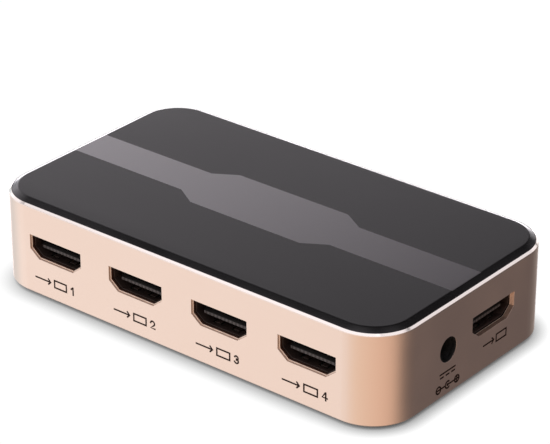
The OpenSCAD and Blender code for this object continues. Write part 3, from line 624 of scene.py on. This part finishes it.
def roundCorners(corners, radius, steps):
    # each corner of a closed outline gives way to an arc that touches both of its sides:
    # the arc's middle lies on the bisector, at radius / sin(half the corner's angle)
    corner = np.asarray(corners, float)
    before = np.roll(corner, 1, axis=0) - corner
    after = np.roll(corner, -1, axis=0) - corner
    before /= np.linalg.norm(before, axis=1, keepdims=True)
    after /= np.linalg.norm(after, axis=1, keepdims=True)
    half = np.arccos(np.clip((before * after).sum(1), -1, 1)) / 2
    radius = np.broadcast_to(np.asarray(radius, float), half.shape)
    bisector = before + after
    bisector /= np.linalg.norm(bisector, axis=1, keepdims=True)
    middle = corner + bisector * (radius / np.sin(half))[:, None]
    start = corner + before * (radius / np.tan(half))[:, None] - middle
    end = corner + after * (radius / np.tan(half))[:, None] - middle
    sweep = (np.pi - 2 * half)[:, None, None]
    share = np.linspace(0, 1, steps)[None, :, None]
    leaving = np.sin((1 - share) * sweep) * start[:, None]
    arriving = np.sin(share * sweep) * end[:, None]
    arc = (leaving + arriving) / np.sin(sweep)
    return (middle[:, None] + arc).reshape(-1, 2)


def roundedRectangle(halfLength, halfWidth, radius, steps):
    # four quarter circles joined by straight runs; gives the points and the directions outwards
    turn = np.repeat(np.arange(4) * np.pi / 2, steps) + np.tile(np.linspace(0, np.pi / 2, steps), 4)
    outwards = np.stack((np.cos(turn), np.sin(turn)), axis=-1)
    corner = np.repeat([(1, 1), (-1, 1), (-1, -1), (1, -1)], steps, axis=0)
    return corner * (halfLength - radius, halfWidth - radius) + outwards * radius, outwards


def carryUpright(path, outwards, profile):
    # each point of the profile, (distance outwards, height), carried round the closed path
    flat = path[:, None] + outwards[:, None] * profile[None, :, :1]
    height = np.broadcast_to(profile[None, :, 1:], flat.shape[:2] + (1,))
    return np.concatenate((flat, height), axis=-1)


def cappedFaces(rows, columns):
    # the skin round a carried open profile, closed by one flat face at each of its ends
    first = np.arange(rows) * columns
    return [*gridFaces(rows, columns, wrapRows=True), first, first + columns - 1]


# Plate: the top panel's shape, bevelled and with its edges eased

plateSetup = dict(cornerRadius=9.88, cornerSteps=28, bevelWidth=1.4, bevelHeight=0.75, flatRun=2,
                  easeTop=0.9, easeFoot=0.07, easeUnder=0.1, easeSteps=8, smoothUnder=20)


def makePlate(setup):
    # the section, from under the plate round its edge to the top, carried round a rounded rectangle
    low, high = panelLow[2], panelHigh[2]
    top = -setup["bevelWidth"]
    inner = top - setup["flatRun"]
    section = [(inner, low), (0, low), (0, high - setup["bevelHeight"]), (top, high), (inner, high)]
    ease = [0, setup["easeUnder"], setup["easeFoot"], setup["easeTop"], 0]
    steps = setup["easeSteps"]
    profile = roundCorners(section, ease, steps)[steps:-steps]  # without the two inner corners
    path, outwards = roundedRectangle(*panelHigh[:2], setup["cornerRadius"], setup["cornerSteps"])
    points = carryUpright(path, outwards, profile)
    faces = cappedFaces(len(path), len(profile))
    plate = makePiece("bevelled_plate", points, faces, materials["black_gloss"], "black_gloss",
                      smoothUnder=setup["smoothUnder"])
    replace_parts(plate, "top_panel")


makePlate(plateSetup)
print("top panel: plate made")


# Sockets: a stepped lip lines each cut-out in the wall

lipSetup = dict(width=15.0, base=10.0, height=5.4, side=3.43, shellGap=0.15, cornerRadius=0.22,
                cornerSteps=5, front=0.008, back=1.08, clear=0.004, lean=0.05, ring=0.26, endRing=0.12,
                ease=(0.0004, 0.01, 0.02, 0.02, 0.002), easeSteps=4, smoothUnder=24)


def socketOutline(inset, setup):
    # the D-shaped outline about the middle of its top edge, drawn in by an inset on every side
    slope = math.atan2((setup["width"] - setup["base"]) / 2, setup["height"] - setup["side"])
    side = setup["width"] / 2 - inset
    base = setup["base"] / 2 - inset * math.tan((math.pi / 2 - slope) / 2)
    bend = -setup["side"] + inset * math.tan(slope / 2)
    bottom = inset - setup["height"]
    corners = [(-side, -inset), (-side, bend), (-base, bottom), (base, bottom), (side, bend), (side, -inset)]
    return roundCorners(corners, setup["cornerRadius"], setup["cornerSteps"])


def onWall(name, across, up, depth):
    # points on the wall that a socket is in: across it, up, and behind its outer face
    if name == "input":
        return np.stack((endWall - depth, across, up), axis=-1)
    return np.stack((across, frontWall + depth, up), axis=-1)


def makeLip(name, setup):
    # the lip's section, (inset from the cut-out's edge, depth behind the wall's face), carried round
    # the outline: one ring of points for each point of the section
    atEnd = name == "input"
    step = endCutSetup["step"] if atEnd else cutSetup["step"]
    ring = setup["endRing"] if atEnd else setup["ring"]
    corners = [(setup["clear"], setup["front"]), (setup["lean"], step), (ring, step), (ring, setup["back"]),
               (setup["clear"], setup["back"])]
    section = roundCorners(corners, setup["ease"], setup["easeSteps"])
    rings = np.stack([socketOutline(inset, setup) for inset in section[:, 0]])
    middle = socketMiddle(name)
    top = millimetres(name + "_shell")[1][2] + setup["shellGap"]
    sideways = middle[1] if atEnd else middle[0]
    depth = np.broadcast_to(section[:, 1:], rings.shape[:2])
    points = onWall(name, rings[..., 0] + sideways, rings[..., 1] + top, depth)
    faces = gridFaces(*rings.shape[:2], wrapRows=True, wrapColumns=True)
    makePiece(name + "_lip", points, faces, endCutGold if atEnd else cutGold, "gold_aluminium",
              smoothUnder=setup["smoothUnder"])


for socket in socketNames:
    makeLip(socket, lipSetup)
print("sockets: %d lips" % len(socketNames))


# Power jack: a thin black collar lines the hole in the wall

collarSetup = dict(inner=2.76, outer=2.842, edge=0.01, lip=0.06, ease=0.015, easeSteps=4, steps=64)
# the jack's axis stands over the middle of its wings, at the height of its pin
pinLow, pinHigh = millimetres("jack_centre_pin")
jackMiddle = ((jackLow[1] + jackHigh[1]) / 2, pinHigh[2] - (pinHigh[1] - pinLow[1]) / 2)


def makeCollar(setup):
    # the collar's section, (radius, place along X), turned about the jack's axis
    section = [(setup["inner"], jackHigh[0]), (setup["outer"], jackHigh[0]),
               (setup["outer"], endWall - setup["edge"]), (setup["inner"], endWall - setup["lip"])]
    profile = roundCorners(section, setup["ease"], setup["easeSteps"])
    turn = np.linspace(0, 2 * np.pi, setup["steps"], endpoint=False)[:, None]
    radius = profile[None, :, 0]
    along = np.broadcast_to(profile[None, :, 1], (setup["steps"], len(profile)))
    points = np.stack((along, jackMiddle[0] + radius * np.cos(turn), jackMiddle[1] + radius * np.sin(turn)),
                      axis=-1)
    faces = gridFaces(setup["steps"], len(profile), wrapRows=True, wrapColumns=True)
    makePiece("jack_collar", points, faces, materials["black_plastic"], "black_plastic")


makeCollar(collarSetup)
print("jack: collar made")


# Printed marks: plain numbers and signs in thin raised ink

markSetup = dict(stroke=0.38, height=2.1, proud=0.016, step=0.002, sunk=0.03, mitreLimit=1.5)
outputMark = dict(shift=-0.4, level=4.95, arrow=4.4, head=0.62, screen=3.5, gap=1.2, numeral=1.3)
inputMark = dict(shift=0.9, level=6.45, arrow=3.7, head=0.62, screen=3.6, gap=0.9)
powerMark = dict(middle=-8.6, level=6.0, line=5.2, dash=1.28, spread=0.42)
polarityMark = dict(middle=-8.45, level=3.05, ring=0.78, ringSteps=24, sign=0.40, reach=3.2, cup=0.80,
                    mouth=55, cupSteps=22, core=0.30, coreSteps=12)
markHalf = (markSetup["height"] - markSetup["stroke"]) / 2  # half a mark's height, between line middles
shaftEnd = 0.3  # an arrow's shaft stops this far before its tip


def arcLine(middle, radius, start, end, steps=14):
    # points of a circle between two angles, in degrees
    turn = np.radians(np.linspace(start, end, steps))
    return np.stack((middle[0] + radius * np.cos(turn), middle[1] + radius * np.sin(turn)), axis=-1)


def circleLine(across, radius, steps):
    # points all round a circle on the mark's middle line
    return arcLine((across, 0), radius, 0, 360 - 360 / steps, steps)


def numeralLines(number, half):
    # drawn lines of a numeral about its middle, from minus half to half its height
    if number == 1:
        return [[(0.15, -half), (0.15, half)], [(-0.38, half * 0.5), (0.0, half - 0.08)]]
    if number == 2:
        bow = arcLine((0, half - 0.55), 0.55, 170, -38)
        return [np.concatenate((bow, [(-0.58, -half), (0.62, -half)]))]
    if number == 3:
        return [arcLine((-0.04, half - 0.47), 0.47, 155, -85), arcLine((-0.04, 0.52 - half), 0.52, 84, -155)]
    bar = -half * 0.38
    return [[(0.30, -half), (0.30, half)], [(0.12, half - 0.1), (-0.62, bar), (0.66, bar)]]


def arrowLines(length, head):
    # a shaft and an open head, pointing to the right
    tip = length / 2
    return [[(-tip, 0), (tip - shaftEnd, 0)], [(tip - head, head), (tip, 0), (tip - head, -head)]]


def boxLine(width, height):
    x, y = width / 2, height / 2
    return [(-x, -y), (x, -y), (x, y), (-x, y)]


def shifted(lines, across):
    return [np.asarray(line, float) + (across, 0) for line in lines]


def inkBand(line, closed, lift, setup):
    # a flat band along a drawn line: its two sides lie half a stroke away, along the mitre at each bend
    line = np.asarray(line, float)
    ahead = np.roll(line, -1, axis=0) - line
    ahead /= np.linalg.norm(ahead, axis=1, keepdims=True)
    behind = np.roll(ahead, 1, axis=0)
    if not closed:
        ahead[-1] = behind[-1]
        behind[0] = ahead[0]
        line[0] -= ahead[0] * setup["stroke"] / 2
        line[-1] += ahead[-1] * setup["stroke"] / 2
    mitre = ahead + behind
    mitre /= np.maximum((1 + (ahead * behind).sum(1, keepdims=True)), 2 / setup["mitreLimit"] ** 2)
    leftwards = np.stack((-mitre[:, 1], mitre[:, 0]), axis=-1)
    side = np.array([-0.5, -0.5, 0.5, 0.5]) * setup["stroke"]
    level = np.array([-setup["sunk"], lift, lift, -setup["sunk"]])
    flat = line[:, None] + leftwards[:, None] * side[None, :, None]
    points = np.concatenate((flat, np.broadcast_to(level[None, :, None], flat.shape[:2] + (1,))), axis=-1)
    faces = list(gridFaces(len(line), len(side), wrapRows=closed, wrapColumns=True))
    if not closed:
        cap = np.arange(len(side))
        faces += [cap, cap + len(side) * (len(line) - 1)]
    return points.reshape(-1, 3), faces


def makeMark(name, wall, middle, level, openLines, closedLines, setup):
    # all bands of a mark in one mesh; each band lies a hair above the one before
    points = []
    faces = []
    count = 0
    drawn = [(line, False) for line in openLines] + [(line, True) for line in closedLines]
    for number, (line, closed) in enumerate(drawn):
        bandPoints, bandFaces = inkBand(line, closed, setup["proud"] + number * setup["step"], setup)
        points.append(bandPoints)
        faces += [face + count for face in bandFaces]
        count += len(bandPoints)
    points = np.concatenate(points)
    placed = onWall(wall, points[:, 0] + middle, points[:, 1] + level, -points[:, 2])
    makePiece(name, placed, faces, printInk, "black_plastic")


def makeOutputMark(number, name, place):
    # an arrow towards a screen, then the output's number
    total = place["arrow"] + place["screen"] + place["numeral"] + 2 * place["gap"]
    arrowAt = (place["arrow"] - total) / 2
    screenAt = arrowAt + place["arrow"] / 2 + place["gap"] + place["screen"] / 2
    numeralAt = (total - place["numeral"]) / 2
    lines = shifted(arrowLines(place["arrow"], place["head"]), arrowAt)
    lines += shifted(numeralLines(number, markHalf), numeralAt)
    boxes = shifted([boxLine(place["screen"], 2 * markHalf)], screenAt)
    middle = socketMiddle(name)[0] + place["shift"]
    makeMark(name + "_mark", name, middle, place["level"], lines, boxes, markSetup)


def makeInputMark(place):
    # an arrow into a screen
    total = place["arrow"] + place["gap"] + place["screen"]
    lines = shifted(arrowLines(place["arrow"], place["head"]), (place["arrow"] - total) / 2)
    boxes = shifted([boxLine(place["screen"], 2 * markHalf)], (total - place["screen"]) / 2)
    middle = socketMiddle("input")[1] + place["shift"]
    makeMark("input_mark", "input", middle, place["level"], lines, boxes, markSetup)


def makePowerMarks(direct, polarity):
    # direct current: a line above three dashes; polarity: minus, outer contact, centre contact, plus
    end, spread = direct["line"] / 2, direct["spread"]
    reach = (direct["line"] - direct["dash"]) / 2
    half = direct["dash"] / 2 - markSetup["stroke"] / 2
    lines = [[(-end, spread), (end, spread)]]
    lines += [[(x - half, -spread), (x + half, -spread)] for x in (-reach, 0, reach)]
    makeMark("power_mark", "input", direct["middle"], direct["level"], lines, [], markSetup)
    reach, ring, sign = polarity["reach"], polarity["ring"], polarity["sign"]
    cup, mouth, core = polarity["cup"], polarity["mouth"], polarity["core"]
    lines = [[(-reach - sign, 0), (-reach + sign, 0)], [(reach - sign, 0), (reach + sign, 0)],
             [(reach, -sign), (reach, sign)], [(ring - reach, 0), (-cup, 0)], [(core, 0), (reach - ring, 0)],
             arcLine((0, 0), cup, mouth, 360 - mouth, polarity["cupSteps"])]
    rings = [circleLine(across, ring, polarity["ringSteps"]) for across in (-reach, reach)]
    rings += [circleLine(0, core / 2, polarity["coreSteps"])]
    makeMark("polarity_mark", "input", polarity["middle"], polarity["level"], lines, rings, markSetup)


for number, name in enumerate(outputNames, start=1):
    makeOutputMark(number, name, outputMark)
makeInputMark(inputMark)
makePowerMarks(powerMark, polarityMark)
print("marks: printed")


# Feet: rubber discs with a rounded lower edge and a shallow dish underneath

footSetup = dict(hub=0.32, dish=0.12, dishRadius=2.4, dishRun=0.35, dishEase=0.1, ease=0.32, topEase=0.06,
                 easeSteps=6, steps=48)


def makeFeet(setup):
    # the foot's section, (radius, height), turned about each foot's middle
    low, high = (corner[2] for corner in millimetres("rubber_feet"))
    vertices = np.array([vertex.co for vertex in cadNodes["rubber_feet"].data.vertices]) / mm
    quarter = vertices[(vertices[:, 0] > 0) & (vertices[:, 1] > 0)]
    corner = (quarter.min(0) + quarter.max(0)) / 2
    radius = (quarter[:, 0].max() - quarter[:, 0].min()) / 2
    section = [(setup["hub"], setup["dish"]), (setup["dishRadius"], setup["dish"]),
               (setup["dishRadius"] + setup["dishRun"], low), (radius, low), (radius, high),
               (setup["hub"], high)]
    ease = [0, setup["dishEase"], setup["dishEase"], setup["ease"], setup["topEase"], 0]
    steps = setup["easeSteps"]
    profile = roundCorners(section, ease, steps)[steps - 1:1 - steps]  # one point for each sharp end
    turn = np.linspace(0, 2 * np.pi, setup["steps"], endpoint=False)
    outwards = np.stack((np.cos(turn), np.sin(turn)), axis=-1)
    foot = carryUpright(np.zeros_like(outwards), outwards, profile)
    places = np.array([(x * corner[0], y * corner[1], 0) for x in (-1, 1) for y in (-1, 1)])
    points = foot.reshape(1, -1, 3) + places[:, None]
    skin = cappedFaces(setup["steps"], len(profile))
    faces = [face + number * points.shape[1] for number in range(len(places)) for face in skin]
    feet = makePiece("soft_feet", points, faces, materials["rubber"], "rubber")
    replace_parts(feet, "rubber_feet")


makeFeet(footSetup)
print("feet: made")


# Eased edges: copies of nodes with their sharp edges rounded off, each by its own width

easedNodes = {"bottom_cover": 0.2, "cover_screws": 0.06, "main_board": 0.1, "board_screws": 0.15,
              "jack_housing": 0.15, "jack_centre_pin": 0.08, "splitter_chip": 0.15, "heat_sink": 0.12,
              "controller_chip": 0.12, "memory_chip": 0.12, "voltage_regulator": 0.15, "power_inductor": 0.5,
              "bulk_capacitors": 0.5, "bulk_capacitor_bases": 0.15, "crystal": 0.6}
easedNodes.update({name + "_shell": 0.07 for name in socketNames})
easedNodes.update({name + "_insulator": 0.09 for name in socketNames})
easeSetup = dict(joinUnder=0.0005, flatUnder=1.0, sharpOver=30.0, segments=3, roundness=0.5)


def makeEased(node, width, setup):
    # the node's loose triangles are joined, its flat faces made whole, and each sharp edge gives
    # way to an arc that starts one width away from it on both faces
    source = cadNodes[node].data
    points = np.array([vertex.co for vertex in source.vertices]) / mm
    skin = newSkin(points, [polygon.vertices for polygon in source.polygons])
    bmesh.ops.remove_doubles(skin, verts=skin.verts, dist=setup["joinUnder"] * mm)
    bmesh.ops.dissolve_limit(skin, angle_limit=math.radians(setup["flatUnder"]), verts=skin.verts,
                             edges=skin.edges)
    sharpOver = math.radians(setup["sharpOver"])
    sharp = [edge for edge in skin.edges if edge.calc_face_angle(0.0) > sharpOver]
    bmesh.ops.bevel(skin, geom=sharp, offset=width * mm, offset_type="OFFSET", segments=setup["segments"],
                    profile=setup["roundness"], affect="EDGES", clamp_overlap=True)
    slot = nodeSlots[node]
    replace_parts(placeSkin("eased_" + node, skin, materials[slot], slot), node)


for node, width in easedNodes.items():
    makeEased(node, width, easeSetup)
print("eased edges: %d copies" % len(easedNodes))
